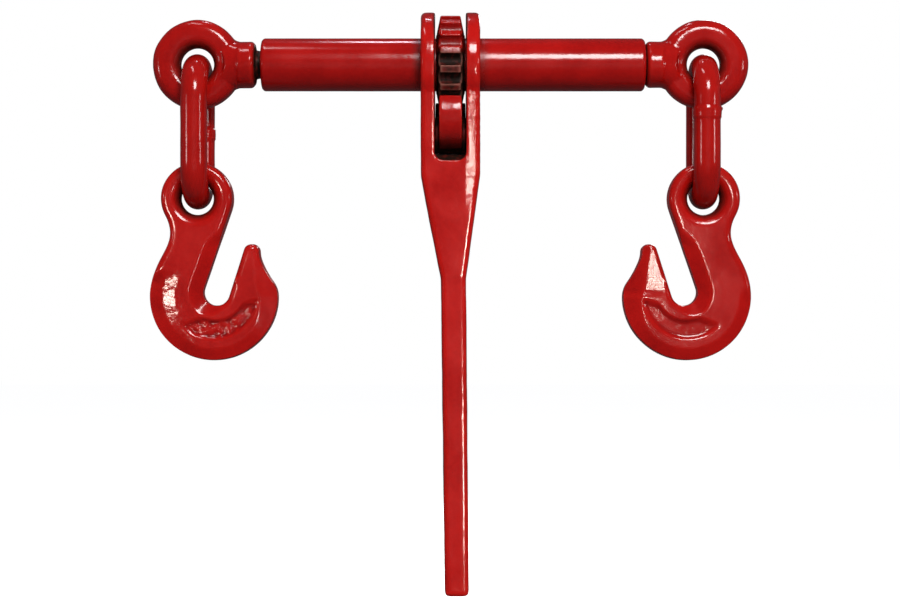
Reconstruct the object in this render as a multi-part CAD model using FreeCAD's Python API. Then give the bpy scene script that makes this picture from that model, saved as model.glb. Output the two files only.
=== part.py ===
"""Ratchet load binder with two grab hooks, hanging by its handle.

Millimetres, +Z up. The origin is the centre of the ratchet gear on the barrel's axis.
The barrel lies along X, and the links, hooks and handle hang below it.
"""

import FreeCAD, Part
import math
import os

# Barrel: a steel tube, tapped at both ends
BARREL_R = 17.5
BARREL_LEFT_X = -125.2
BARREL_RIGHT_X = 128.8
BARREL_EDGE = 1.6
RELIEF_R = 13.6
TAPPED_LENGTH = 20.0

# Thread: left hand on the left, right hand on the right
LEAD = 6.35
THREAD_MAJOR_R = 12.0
THREAD_MINOR_R = 9.4
THREAD_CREST_HALF = 1.15
THREAD_FLANK_SLOPE = 0.27
THREAD_PLAY = 0.3
THREAD_PHASE_X = 100.0
THREAD_STEPS = 16
TAP_OVERRUN = 1.3

# Eye screws
COLLAR_R = 15.2
COLLAR_LENGTH = 10.7
COLLAR_EDGE = 2.2
COLLAR_OUTER_X = 140.0
UNDERCUT_LENGTH = 7.0
UNDERCUT_R = 9.2
TURNS = 15
TRAVEL = TURNS * LEAD
STOP_GAP = 0.15
EYE_X = 168.0
EYE_RING_R = 29.6
EYE_HOLE_R = 11.1
EYE_THICK = 19.0
EYE_ROUND = 7.6
NECK_ROOT_R = 14.8
NECK_HALF_HEIGHT = 22.0
NECK_END_X = 158.0
NECK_INSET = 0.4

# Stop washers and the roll pins that hold them
WASHER_R = 13.1
WASHER_THICK = 3.0
STOP_PIN_R = 2.0
STOP_PIN_BORE_R = 1.1
STOP_PIN_SLIT = 0.6
STOP_PIN_LENGTH = 24.0
PIN_TO_END = 3.4
WASHER_PLAY = 0.4
SCREW_END_EDGE = 1.5

# Links
WIRE_R = 8.75
LINK_LENGTH = 103.1
LINK_WIDTH = 60.0
REST_GAP = 0.5

# Hooks, drawn about the centre of the hook's eye
HOOK_EYE_R = 23.7
HOOK_HOLE_R = 10.9
HOOK_THICK = 20.0
HOOK_ROUND = 4.0
HOOK_MOUTH_ROUND = 8.0
HOOK_BODY_R = 42.3
HOOK_BODY_U = 11.3
HOOK_BODY_V = -64.8
SLOT_R = 8.9
SLOT_LEAN = math.radians(17.6)
SLOT_U = 13.0
SLOT_V = -62.2
TIP_TOP_V = -30.3
TIP_OUTER_U = 41.4
TIP_ROUND = 4.6
TIP_END_ANGLE = -4.0
TIP_HOLLOW = ((43.2, -42.6), (48.5, -52.5))
HOOK_WAIST = ((-23.6, -39.2), (-17.6, -23.5))
BACK_LOW_ANGLE = 167.0
BACK_TOP_ANGLE = 209.0
RECESS_DEPTH = 1.6
RECESS_INNER_R = 18.8
RECESS_LEFT = (-11.0, -72.0)
RECESS_LOW = (11.0, -93.0)
RECESS_RIGHT = (35.5, -60.0)

# Ratchet gear
TEETH = 16
GEAR_TIP_R = 32.4
GEAR_ROOT_R = 26.8
GEAR_HUB_WIDTH = 18.4
GEAR_TIP_WIDTH = 13.2
GEAR_GAP_HALF = 3.9
GEAR_BORE_GAP = 0.05
WELD_PREP = 2.2
WELD_HEIGHT = 2.3
WELD_CROWN = 0.3

# Handle
EAR_R = 34.4
EAR_LEAVE_ANGLE = 35.0
YOKE_HALF = 19.5
YOKE_LOW_Z = -74.0
SLOT_HALF_X = 10.3
SLOT_BOTTOM_Z = -64.3
SLOT_CORNER = 5.5
SLOT_LAND_Z = -60.2
SLOT_BACK_Z = -58.2
SLOT_LAND_Y = (-14.0, -8.0, 6.0, 12.0)
CHEEK_HALF_Y = 20.5
CHEEK_HOLLOW = 0.6
BEARING_PLAY = 0.1
SHANK_Z = -106.0
SHANK_LEFT_X = -13.6
SHANK_RIGHT_X = 15.1
GRIP_TOP_Z = -142.0
GRIP_TOP_LEAN_X = 2.0
GRIP_HALF_X = 8.3
GRIP_END_HALF_X = 7.9
GRIP_HALF_Y = 13.0
HANDLE_END_Z = -352.0
HANDLE_LEAN_X = 4.2
HANDLE_ROUND = 3.0

# Pawl, which rocks on a pin below the gear
PAWL_PIN_Z = -47.0
PAWL_PIN_R = 4.75
PAWL_PIN_HALF = 18.8
PAWL_PIN_EDGE = 0.8
PIN_PLAY = 0.1
PAWL_WIDTH = 14.9
PAWL_BACK_WIDTH = 20.4
PAWL_CAM_R = 12.4
PAWL_CAM_END_ANGLE = -35.0
PAWL_THROAT = (-15.5, -55.0)
PAWL_HEEL = (-22.5, -50.5)
PAWL_FRONT = (-28.7, -34.5)
PAWL_TIP_ANGLE = 45.0
PAWL_TIP_R = 33.3
PAWL_TIP_HALF = 1.7
PAWL_TIP_DRAFT = 0.7
PAWL_INNER_R = 38.4
PAWL_SWING = 8.0
CAM_NOTCH_R = 1.1
CAM_NOTCH_DEPTH = 0.5

# Detent in the handle: a spring pushes a plunger against the pawl's cam
PLUNGER_R = 4.0
PLUNGER_GAP = 0.12
PLUNGER_LENGTH = 15.0
NOSE_R = 0.8
NOSE_LENGTH = 4.0
DETENT_BORE_R = 4.1
DETENT_BORE_BOTTOM_Z = -98.0
SPRING_R = 3.1
SPRING_WIRE_R = 0.6
SPRING_TURNS = 7
SPRING_END_GAP = 0.05


def vec(x, y, z):
    return FreeCAD.Vector(x, y, z)


ORIGIN = vec(0, 0, 0)
X_AXIS = vec(1, 0, 0)
Y_AXIS = vec(0, 1, 0)
Z_AXIS = vec(0, 0, 1)


def polar(radius, angle):
    """A point of the YZ plane, by its angle below the front (-Y) horizontal."""
    return vec(0, -radius * math.cos(angle), -radius * math.sin(angle))


def line(start, end):
    return Part.LineSegment(start, end).toShape()


def arc(start, through, end):
    return Part.Arc(start, through, end).toShape()


def prism(edges, start, height):
    """A straight extrusion of a closed outline, moved by start."""
    face = Part.Face(Part.Wire(edges))
    solid = face.extrude(height)
    solid.translate(start)
    return solid


def tube_x(radius, x0, x1):
    return Part.makeCylinder(radius, x1 - x0, vec(x0, 0, 0), X_AXIS)


def round_edges(shape, *stations):
    """The circular edges whose centres lie at any of these x stations."""
    return [
        edge
        for edge in shape.Edges
        if edge.Curve.TypeId == "Part::GeomCircle"
        and any(abs(edge.Curve.Center.x - x) < 0.01 for x in stations)
    ]


def mirrored(shape):
    return shape.mirror(ORIGIN, X_AXIS)


def on_side(shape, side):
    """A shape drawn on the right, as it is or mirrored to the left."""
    return shape if side > 0 else mirrored(shape)


def save(name, shape):
    if not shape.isValid():
        raise ValueError(name + " is not a valid shape")
    shape.exportStep("parts/" + name + ".step")
    print(name, "solids", len(shape.Solids), "volume", round(shape.Volume))


# Threads, by their distance from the middle: right hand on the right, left hand on the left


def thread_solid(root_r, crest_r, crest_half, side, start_x, end_x):
    """A threaded rod between two stations. Its facets follow the thread's true helix."""
    root_half = crest_half + THREAD_FLANK_SLOPE * (crest_r - root_r)
    profile = [
        (-crest_half, crest_r),
        (crest_half, crest_r),
        (root_half, root_r),
        (LEAD - root_half, root_r),
        (LEAD - crest_half, crest_r),
    ]
    first_x = THREAD_PHASE_X + (math.floor((start_x - THREAD_PHASE_X) / LEAD) - 2) * LEAD
    steps = (math.ceil((end_x - first_x) / LEAD) + 1) * THREAD_STEPS

    def corner(step, index):
        along, radius = profile[index]
        turn = 2 * math.pi * step / THREAD_STEPS
        x = first_x + LEAD * step / THREAD_STEPS + along
        return vec(side * x, radius * math.sin(turn), -radius * math.cos(turn))

    facets = []
    for step in range(steps):
        for index in range(len(profile) - 1):
            near, far = corner(step, index), corner(step, index + 1)
            next_near, next_far = corner(step + 1, index), corner(step + 1, index + 1)
            facets += [(near, next_near, far), (next_near, next_far, far)]
    low_end = vec(side * first_x, 0, 0)
    high_end = vec(side * (first_x + LEAD * (steps / THREAD_STEPS + 1)), 0, 0)
    for step in range(THREAD_STEPS):
        facets.append((low_end, corner(step + 1, 0), corner(step, 0)))
        last = steps - THREAD_STEPS + step
        facets.append((high_end, corner(last, -1), corner(last + 1, -1)))
    for index in range(len(profile) - 1):
        facets.append((low_end, corner(0, index), corner(0, index + 1)))
        facets.append((high_end, corner(steps, index + 1), corner(steps, index)))
    return faceted_solid(facets).common(on_side(tube_x(crest_r + 1, start_x, end_x), side))


def faceted_solid(facets):
    """A closed solid from triangles."""
    points = {}
    numbers = []
    for facet in facets:
        keys = [(round(p.x, 5), round(p.y, 5), round(p.z, 5)) for p in facet]
        if len(set(keys)) == 3:
            numbers.append(tuple(points.setdefault(key, len(points)) for key in keys))
    surface = Part.Shape()
    surface.makeShapeFromMesh(([vec(*key) for key in points], numbers), 0.001)
    solid = Part.Solid(surface)
    if solid.Volume < 0:
        solid.reverse()
    return solid


def male_thread(side, start_x, end_x):
    root_r, crest_r = THREAD_MINOR_R, THREAD_MAJOR_R
    return thread_solid(root_r, crest_r, THREAD_CREST_HALF, side, start_x, end_x)


def tapped_space(side, start_x, end_x):
    """What a tap leaves open: the screw's thread, grown by the play."""
    root_r, crest_r = THREAD_MINOR_R + THREAD_PLAY, THREAD_MAJOR_R + THREAD_PLAY
    crest_half = THREAD_CREST_HALF + THREAD_PLAY
    return thread_solid(root_r, crest_r, crest_half, side, start_x - TAP_OVERRUN, end_x + TAP_OVERRUN)


# Barrel


def barrel():
    body = tube_x(BARREL_R, BARREL_LEFT_X, BARREL_RIGHT_X)
    body = body.makeChamfer(BARREL_EDGE, round_edges(body, BARREL_LEFT_X, BARREL_RIGHT_X))
    relief_left = BARREL_LEFT_X + TAPPED_LENGTH
    relief_right = BARREL_RIGHT_X - TAPPED_LENGTH
    body = body.cut(tube_x(RELIEF_R, relief_left, relief_right))
    body = body.cut(tapped_space(1, relief_right, BARREL_RIGHT_X))
    return body.cut(tapped_space(-1, -relief_left, -BARREL_LEFT_X))


def ratchet_gear():
    """Sixteen teeth, thinner at the tips than at the hub, with a gap straight below."""
    bore_r = BARREL_R + GEAR_BORE_GAP
    half, tip_half = GEAR_HUB_WIDTH / 2, GEAR_TIP_WIDTH / 2
    corners = [
        vec(WELD_PREP - half, 0, bore_r),
        vec(-half, 0, bore_r + WELD_HEIGHT),
        vec(-tip_half, 0, GEAR_TIP_R),
        vec(tip_half, 0, GEAR_TIP_R),
        vec(half, 0, bore_r + WELD_HEIGHT),
        vec(half - WELD_PREP, 0, bore_r),
    ]
    gear = Part.Face(Part.makePolygon(corners + [corners[0]])).revolve(ORIGIN, X_AXIS, 360)
    floor_r = GEAR_ROOT_R + GEAR_GAP_HALF
    gap = Part.makeCylinder(GEAR_GAP_HALF, 2 * half, vec(-half, 0, -floor_r), X_AXIS)
    mouth_corner = vec(-half, -GEAR_GAP_HALF, -floor_r - GEAR_GAP_HALF)
    mouth = Part.makeBox(2 * half, 2 * GEAR_GAP_HALF, GEAR_GAP_HALF, mouth_corner)
    tooth_gap = gap.fuse(mouth)
    for step in range(TEETH):
        turned = tooth_gap.copy()
        turned.rotate(ORIGIN, X_AXIS, 360.0 * step / TEETH)
        gear = gear.cut(turned)
    return gear


def gear_weld():
    """The weld bead that fills the groove between the gear and the barrel, on the right."""
    root_r = BARREL_R + GEAR_BORE_GAP
    half = GEAR_HUB_WIDTH / 2
    corners = [
        vec(half - WELD_PREP, 0, root_r),
        vec(half, 0, root_r + WELD_HEIGHT),
        vec(half + WELD_CROWN, 0, root_r),
    ]
    return Part.Face(Part.makePolygon(corners + [corners[0]])).revolve(ORIGIN, X_AXIS, 360)


# Eye screws


def screw_end_x(barrel_end_x):
    """The inner end of a screw whose washer meets the tapped end after the full travel."""
    washer_face = barrel_end_x - TAPPED_LENGTH - STOP_GAP - TRAVEL
    return washer_face - WASHER_PLAY / 2 - WASHER_THICK - STOP_PIN_R - PIN_TO_END


def ring():
    """The eye: a flattened ring with a hole along Y."""
    half = EYE_THICK / 2
    inner, outer = EYE_HOLE_R, EYE_RING_R
    r = EYE_ROUND
    k = r * math.sqrt(0.5)
    edges = [
        line(vec(inner, -half + r, 0), vec(inner, half - r, 0)),
        arc(vec(inner, half - r, 0), vec(inner + r - k, half - r + k, 0), vec(inner + r, half, 0)),
        line(vec(inner + r, half, 0), vec(outer - r, half, 0)),
        arc(vec(outer - r, half, 0), vec(outer - r + k, half - r + k, 0), vec(outer, half - r, 0)),
        line(vec(outer, half - r, 0), vec(outer, -half + r, 0)),
        arc(vec(outer, -half + r, 0), vec(outer - r + k, -half + r - k, 0), vec(outer - r, -half, 0)),
        line(vec(outer - r, -half, 0), vec(inner + r, -half, 0)),
        arc(vec(inner + r, -half, 0), vec(inner + r - k, -half + r - k, 0), vec(inner, -half + r, 0)),
    ]
    solid = Part.Face(Part.Wire(edges)).revolve(ORIGIN, Y_AXIS, 360)
    solid.translate(vec(EYE_X, 0, 0))
    return solid


def neck():
    """The forging between the round collar and the ring."""
    root = Part.makeCircle(NECK_ROOT_R, vec(COLLAR_OUTER_X - 1, 0, 0), X_AXIS)
    side = vec(NECK_END_X, EYE_THICK / 2 - NECK_INSET, 0)
    end = Part.Ellipse(vec(NECK_END_X, 0, NECK_HALF_HEIGHT), side, vec(NECK_END_X, 0, 0)).toShape()
    loft = Part.makeLoft([Part.Wire(root), Part.Wire(end)], True)
    eye_space = Part.makeCylinder(
        EYE_HOLE_R + EYE_ROUND, 2 * EYE_THICK, vec(EYE_X, -EYE_THICK, 0), Y_AXIS
    )
    return loft.cut(eye_space)


def eye_screw(side, barrel_end_x):
    """One forging: threaded screw, collar, neck and eye, with the end turned down for its washer."""
    start_x = screw_end_x(barrel_end_x)
    collar_x = COLLAR_OUTER_X - COLLAR_LENGTH
    thread_end_x = collar_x - UNDERCUT_LENGTH
    journal_end_x = start_x + PIN_TO_END + STOP_PIN_R + WASHER_THICK + WASHER_PLAY
    journal = tube_x(UNDERCUT_R, start_x, journal_end_x + 1)
    journal = journal.makeChamfer(SCREW_END_EDGE, round_edges(journal, start_x))
    undercut = tube_x(UNDERCUT_R, thread_end_x - 1, collar_x + 1)
    collar = tube_x(COLLAR_R, collar_x, COLLAR_OUTER_X)
    collar = collar.makeChamfer(COLLAR_EDGE, round_edges(collar, collar_x))
    pin_start = vec(start_x + PIN_TO_END, 0, -THREAD_MAJOR_R)
    pin_hole = Part.makeCylinder(STOP_PIN_R, 2 * THREAD_MAJOR_R, pin_start, Z_AXIS)
    inner = on_side(journal.cut(pin_hole), side)
    outer = on_side(undercut.fuse([collar, neck(), ring()]), side)
    return male_thread(side, journal_end_x, thread_end_x).fuse([inner, outer])


def stop_washer(barrel_end_x):
    x = screw_end_x(barrel_end_x) + PIN_TO_END + STOP_PIN_R + WASHER_PLAY / 2
    outer = tube_x(WASHER_R, x, x + WASHER_THICK)
    return outer.cut(tube_x(UNDERCUT_R + WASHER_PLAY / 2, x, x + WASHER_THICK))


def stop_pin(barrel_end_x):
    """A rolled spring pin, slit along its length."""
    x = screw_end_x(barrel_end_x) + PIN_TO_END
    half = STOP_PIN_LENGTH / 2
    pin = Part.makeCylinder(STOP_PIN_R, STOP_PIN_LENGTH, vec(x, 0, -half), Z_AXIS)
    bore = Part.makeCylinder(STOP_PIN_BORE_R, STOP_PIN_LENGTH, vec(x, 0, -half), Z_AXIS)
    slit_corner = vec(x, -STOP_PIN_SLIT / 2, -half)
    slit = Part.makeBox(STOP_PIN_R * 2, STOP_PIN_SLIT, STOP_PIN_LENGTH, slit_corner)
    return pin.cut(bore).cut(slit)


# Links


def link_top_z():
    """The centre of the link's wire where it lies in the eye."""
    return -(EYE_HOLE_R - WIRE_R - REST_GAP)


def link():
    """One oval link in the YZ plane, hanging in the right hand eye."""
    bend_r = LINK_WIDTH / 2 - WIRE_R
    top = link_top_z() - bend_r
    bottom = link_top_z() - (LINK_LENGTH - 2 * WIRE_R) + bend_r
    pieces = []
    for centre_z, start_y in ((top, -bend_r), (bottom, bend_r)):
        section = Part.Face(Part.Wire(Part.makeCircle(WIRE_R, vec(0, start_y, centre_z), Z_AXIS)))
        pieces.append(section.revolve(vec(0, 0, centre_z), X_AXIS, -180))
    for leg_y in (-bend_r, bend_r):
        pieces.append(Part.makeCylinder(WIRE_R, top - bottom, vec(0, leg_y, bottom), Z_AXIS))
    solid = pieces[0].fuse(pieces[1:]).removeSplitter()
    solid.translate(vec(EYE_X, 0, 0))
    return solid


# Hooks


def hook_centre():
    """The centre of the hook's eye, whose hole rests on the link's lower bend."""
    wire_z = link_top_z() - (LINK_LENGTH - 2 * WIRE_R)
    return vec(EYE_X, 0, wire_z - (HOOK_HOLE_R - WIRE_R - REST_GAP))


def hook_point(u, v):
    """A point of the hook's outline: u towards the middle of the binder, v up."""
    return vec(-u, 0, v)


def slot_point(across, along):
    """A point about the slot's rounded end: across towards the tip, along towards the mouth."""
    lean_sin, lean_cos = math.sin(SLOT_LEAN), math.cos(SLOT_LEAN)
    return hook_point(
        SLOT_U + across * lean_cos + along * lean_sin,
        SLOT_V - across * lean_sin + along * lean_cos,
    )


def on_circle(radius, angle, centre_u=0.0, centre_v=0.0):
    """A point of a circle in the hook's plane, at an angle above the inward horizontal."""
    turn = math.radians(angle)
    return hook_point(centre_u + radius * math.cos(turn), centre_v + radius * math.sin(turn))


def smooth_curve(points, start_direction, end_direction):
    curve = Part.BSplineCurve()
    curve.interpolate(Points=points, InitialTangent=start_direction, FinalTangent=end_direction)
    return curve.toShape()


def shank_line():
    """The straight edge that touches both the eye's circle and the slot's rounded end."""
    reach = math.hypot(SLOT_U, SLOT_V)
    slant = math.degrees(math.asin((HOOK_EYE_R + SLOT_R) / reach))
    normal = math.degrees(math.atan2(SLOT_V, SLOT_U)) - slant + 90.0
    return on_circle(HOOK_EYE_R, normal), on_circle(SLOT_R, normal + 180.0, SLOT_U, SLOT_V)


def tip_edges(slot_right):
    """The tip: straight inside, rounded on top, then hollow outside down to the body's circle."""
    centre_v = TIP_TOP_V - TIP_ROUND
    lean_sin, lean_cos = math.sin(SLOT_LEAN), math.cos(SLOT_LEAN)
    climb = (centre_v - SLOT_V + SLOT_R * lean_sin) / lean_cos
    inside_u = SLOT_U + SLOT_R * lean_cos + climb * lean_sin
    inner_u = inside_u + TIP_ROUND / lean_cos
    outer_u = TIP_OUTER_U - TIP_ROUND
    lean = math.degrees(SLOT_LEAN)
    inner_start = on_circle(TIP_ROUND, 180.0 - lean, inner_u, centre_v)
    inner_end = hook_point(inner_u, TIP_TOP_V)
    outer_start = hook_point(outer_u, TIP_TOP_V)
    outer_end = hook_point(TIP_OUTER_U, centre_v)
    body_start = on_circle(HOOK_BODY_R, TIP_END_ANGLE, HOOK_BODY_U, HOOK_BODY_V)
    hollow = [outer_end, *(hook_point(*point) for point in TIP_HOLLOW), body_start]
    return [
        line(slot_right, inner_start),
        arc(inner_start, on_circle(TIP_ROUND, 135.0 - lean / 2, inner_u, centre_v), inner_end),
        line(inner_end, outer_start),
        arc(outer_start, on_circle(TIP_ROUND, 45.0, outer_u, centre_v), outer_end),
        smooth_curve(hollow, hook_point(0, -1), on_circle(1.0, TIP_END_ANGLE - 90.0)),
    ]


def hook_outline():
    """Eye, shank, slot, tip and the round lower body, as one closed loop."""
    shank_top, slot_left = shank_line()
    slot_right = slot_point(SLOT_R, 0)
    back_top = on_circle(HOOK_EYE_R, BACK_TOP_ANGLE)
    back_low = on_circle(HOOK_BODY_R, BACK_LOW_ANGLE, HOOK_BODY_U, HOOK_BODY_V)
    body_start = on_circle(HOOK_BODY_R, TIP_END_ANGLE, HOOK_BODY_U, HOOK_BODY_V)
    waist = [back_low, *(hook_point(*point) for point in HOOK_WAIST), back_top]
    return [
        arc(back_top, on_circle(HOOK_EYE_R, 90.0), shank_top),
        line(shank_top, slot_left),
        arc(slot_left, slot_point(0, -SLOT_R), slot_right),
        *tip_edges(slot_right),
        arc(body_start, on_circle(HOOK_BODY_R, -90.0, HOOK_BODY_U, HOOK_BODY_V), back_low),
        smooth_curve(
            waist,
            on_circle(1.0, BACK_LOW_ANGLE - 90.0),
            on_circle(1.0, BACK_TOP_ANGLE - 90.0),
        ),
    ]


def on_face(shape, y):
    """The edges of a solid that lie wholly at one y."""
    return [
        edge
        for edge in shape.Edges
        if all(abs(vertex.Y - y) < 0.01 for vertex in edge.Vertexes)
    ]


def crescent():
    """The shallow forging recess round the bottom bend."""
    left, right = hook_point(*RECESS_LEFT), hook_point(*RECESS_RIGHT)
    return [
        arc(left, hook_point(*RECESS_LOW), right),
        arc(right, slot_point(0, -RECESS_INNER_R), left),
    ]


def eye_space():
    """The hook's hole, with both its mouths rounded so that the link's bend can seat."""
    half = HOOK_THICK / 2
    r = HOOK_MOUTH_ROUND
    mouth_r = HOOK_HOLE_R + r
    land = half - r
    k = r * math.sqrt(0.5)
    edges = [
        line(vec(0, -half, 0), vec(mouth_r, -half, 0)),
        arc(vec(mouth_r, -half, 0), vec(mouth_r - k, -land - k, 0), vec(HOOK_HOLE_R, -land, 0)),
        line(vec(HOOK_HOLE_R, -land, 0), vec(HOOK_HOLE_R, land, 0)),
        arc(vec(HOOK_HOLE_R, land, 0), vec(mouth_r - k, land + k, 0), vec(mouth_r, half, 0)),
        line(vec(mouth_r, half, 0), vec(0, half, 0)),
        line(vec(0, half, 0), vec(0, -half, 0)),
    ]
    return Part.Face(Part.Wire(edges)).revolve(ORIGIN, Y_AXIS, 360)


def hook():
    """A grab hook hanging in the right hand link, with its tip towards the middle."""
    half = HOOK_THICK / 2
    solid = prism(hook_outline(), vec(0, -half, 0), vec(0, HOOK_THICK, 0))
    solid = solid.makeFillet(HOOK_ROUND, on_face(solid, -half) + on_face(solid, half))
    solid = solid.cut(eye_space())
    for face_y in (-half, half - RECESS_DEPTH):
        solid = solid.cut(prism(crescent(), vec(0, face_y, 0), vec(0, RECESS_DEPTH, 0)))
    solid.translate(hook_centre())
    return solid


# Handle


def handle_front():
    """The front outline in the XZ plane: wide yoke, tapering shank and a slightly leaning grip."""
    bottom, lean = HANDLE_END_Z, HANDLE_LEAN_X
    left = [
        vec(-YOKE_HALF, 0, EAR_R + 1),
        vec(-YOKE_HALF, 0, YOKE_LOW_Z),
    ]
    right = [vec(-p.x, 0, p.z) for p in left]
    grip_top_left = vec(-GRIP_HALF_X + GRIP_TOP_LEAN_X, 0, GRIP_TOP_Z)
    grip_top_right = vec(GRIP_HALF_X + GRIP_TOP_LEAN_X, 0, GRIP_TOP_Z)
    bend_left = vec(SHANK_LEFT_X, 0, SHANK_Z)
    bend_right = vec(SHANK_RIGHT_X, 0, SHANK_Z)
    end_left = vec(lean - GRIP_END_HALF_X, 0, bottom)
    end_right = vec(lean + GRIP_END_HALF_X, 0, bottom)
    return [
        line(left[0], left[1]),
        arc(left[1], bend_left, grip_top_left),
        line(grip_top_left, end_left),
        line(end_left, end_right),
        line(end_right, grip_top_right),
        arc(grip_top_right, bend_right, right[1]),
        line(right[1], right[0]),
        line(right[0], left[0]),
    ]


def handle_side():
    """The side outline in the YZ plane: round ears, then a taper to the grip."""
    leave = math.radians(EAR_LEAVE_ANGLE)
    front_ear = polar(EAR_R, leave)
    back_ear = vec(0, -front_ear.y, front_ear.z)
    front = [vec(0, -CHEEK_HALF_Y, SLOT_BOTTOM_Z), vec(0, -GRIP_HALF_Y, GRIP_TOP_Z)]
    back = [vec(0, -p.y, p.z) for p in front]
    front_end = vec(0, -GRIP_HALF_Y, HANDLE_END_Z)
    back_end = vec(0, GRIP_HALF_Y, HANDLE_END_Z)
    middle = (SLOT_BOTTOM_Z + GRIP_TOP_Z) / 2
    hollow = (CHEEK_HALF_Y + GRIP_HALF_Y) / 2 - CHEEK_HOLLOW
    return [
        arc(front_ear, vec(0, 0, EAR_R), back_ear),
        line(back_ear, back[0]),
        arc(back[0], vec(0, hollow, middle), back[1]),
        line(back[1], back_end),
        line(back_end, front_end),
        line(front_end, front[1]),
        arc(front[1], vec(0, -hollow, middle), front[0]),
        line(front[0], front_ear),
    ]


def slot_land():
    """The raised floor between the cheeks, which the plunger comes up through."""
    front_y, land_y, land_end_y, back_y = SLOT_LAND_Y
    outline = [
        vec(0, front_y, SLOT_BOTTOM_Z - 1),
        vec(0, front_y, SLOT_BOTTOM_Z),
        vec(0, land_y, SLOT_LAND_Z),
        vec(0, land_end_y, SLOT_LAND_Z),
        vec(0, back_y, SLOT_BACK_Z),
        vec(0, 2 * EAR_R, SLOT_BACK_Z),
        vec(0, 2 * EAR_R, SLOT_BOTTOM_Z - 1),
    ]
    edges = [line(start, end) for start, end in zip(outline, outline[1:] + outline[:1])]
    return prism(edges, vec(-2 * SLOT_HALF_X, 0, 0), vec(4 * SLOT_HALF_X, 0, 0))


def yoke_slot():
    """The gap between the cheeks: open at the top, rounded lower corners, a raised floor behind."""
    width = 2 * SLOT_HALF_X
    height = EAR_R + 2 - SLOT_BOTTOM_Z
    box = Part.makeBox(width, 4 * EAR_R, height, vec(-SLOT_HALF_X, -2 * EAR_R, SLOT_BOTTOM_Z))
    corners = [
        edge
        for edge in box.Edges
        if all(abs(vertex.Z - SLOT_BOTTOM_Z) < 0.01 for vertex in edge.Vertexes)
        and abs(edge.Vertexes[0].X - edge.Vertexes[1].X) < 0.01
    ]
    return box.makeFillet(SLOT_CORNER, corners).cut(slot_land())


def handle():
    width = 4 * YOKE_HALF
    front = prism(handle_front(), vec(0, -2 * EAR_R, 0), vec(0, 4 * EAR_R, 0))
    side = prism(handle_side(), vec(-width / 2, 0, 0), vec(width, 0, 0))
    body = front.common(side)
    body = body.makeFillet(HANDLE_ROUND, grip_edges(body))
    body = body.cut(yoke_slot())
    body = body.cut(tube_x(BARREL_R + BEARING_PLAY, -YOKE_HALF, YOKE_HALF))
    pin_hole = tube_x(PAWL_PIN_R, -YOKE_HALF, YOKE_HALF)
    pin_hole.translate(vec(0, 0, PAWL_PIN_Z))
    body = body.cut(pin_hole)
    bore_length = SLOT_LAND_Z - DETENT_BORE_BOTTOM_Z
    bore_start = vec(0, 0, DETENT_BORE_BOTTOM_Z)
    return body.cut(Part.makeCylinder(DETENT_BORE_R, bore_length, bore_start, Z_AXIS))


def grip_edges(body):
    """The long edges below the yoke's ears, and the rim of the handle's end."""
    return [
        edge
        for edge in body.Edges
        if max(vertex.Z for vertex in edge.Vertexes) < 0
    ]


# Pawl and its pin


def pawl_half():
    """The front half of the pawl's outline, from the cam's lowest point to the hub's top."""
    angle = math.radians(PAWL_TIP_ANGLE)
    tip = polar(PAWL_TIP_R, angle)
    along = vec(0, -math.sin(angle), math.cos(angle))
    outward = polar(1.0, angle)
    top = tip + along * PAWL_TIP_HALF
    low = tip - along * PAWL_TIP_HALF
    root = low + outward * (PAWL_INNER_R - PAWL_TIP_R) - along * PAWL_TIP_DRAFT
    cam_bottom = vec(0, 0, PAWL_PIN_Z - PAWL_CAM_R)
    cam_end = cam_point(PAWL_CAM_END_ANGLE)
    heel = vec(0, *PAWL_HEEL)
    hub_top = vec(0, 0, -PAWL_INNER_R)
    root_angle = math.atan2(-root.z, -root.y)
    return [
        arc(cam_bottom, cam_point(PAWL_CAM_END_ANGLE / 2), cam_end),
        arc(cam_end, vec(0, *PAWL_THROAT), heel),
        arc(heel, vec(0, *PAWL_FRONT), top),
        line(top, low),
        line(low, root),
        arc(root, polar(PAWL_INNER_R, (root_angle + math.pi / 2) / 2), hub_top),
    ]


def cam_point(angle, beyond=0.0):
    """A point of the pawl's cam, by its angle from straight below the pin, + towards the back."""
    radius = PAWL_CAM_R + beyond
    turn = math.radians(angle)
    return vec(0, radius * math.sin(turn), PAWL_PIN_Z - radius * math.cos(turn))


def round_pin(radius, half_width):
    """A cylinder round the pawl's pin."""
    solid = tube_x(radius, -half_width, half_width)
    solid.translate(vec(0, 0, PAWL_PIN_Z))
    return solid


def pawl():
    """Front arm, back arm and hub; the back arm and the hub fill the slot's width."""
    edges = pawl_half()
    edges.append(line(vec(0, 0, -PAWL_INNER_R), vec(0, 0, PAWL_PIN_Z - PAWL_CAM_R)))
    front = prism(edges, vec(-PAWL_WIDTH / 2, 0, 0), vec(PAWL_WIDTH, 0, 0))
    back = prism(edges, vec(-PAWL_BACK_WIDTH / 2, 0, 0), vec(PAWL_BACK_WIDTH, 0, 0))
    hub = round_pin(PAWL_CAM_R, PAWL_BACK_WIDTH / 2)
    body = front.fuse([back.mirror(ORIGIN, Y_AXIS), hub]).removeSplitter()
    body = body.cut(round_pin(PAWL_PIN_R + PIN_PLAY, PAWL_BACK_WIDTH))
    for angle in (-PAWL_SWING, 0, PAWL_SWING):
        notch = tube_x(CAM_NOTCH_R, -PAWL_BACK_WIDTH, PAWL_BACK_WIDTH)
        notch.translate(cam_point(angle, CAM_NOTCH_R - CAM_NOTCH_DEPTH))
        body = body.cut(notch)
    return body


def pawl_pin():
    pin = tube_x(PAWL_PIN_R, -PAWL_PIN_HALF, PAWL_PIN_HALF)
    pin = pin.makeChamfer(PAWL_PIN_EDGE, round_edges(pin, -PAWL_PIN_HALF, PAWL_PIN_HALF))
    pin.translate(vec(0, 0, PAWL_PIN_Z))
    return pin


# Detent


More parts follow.
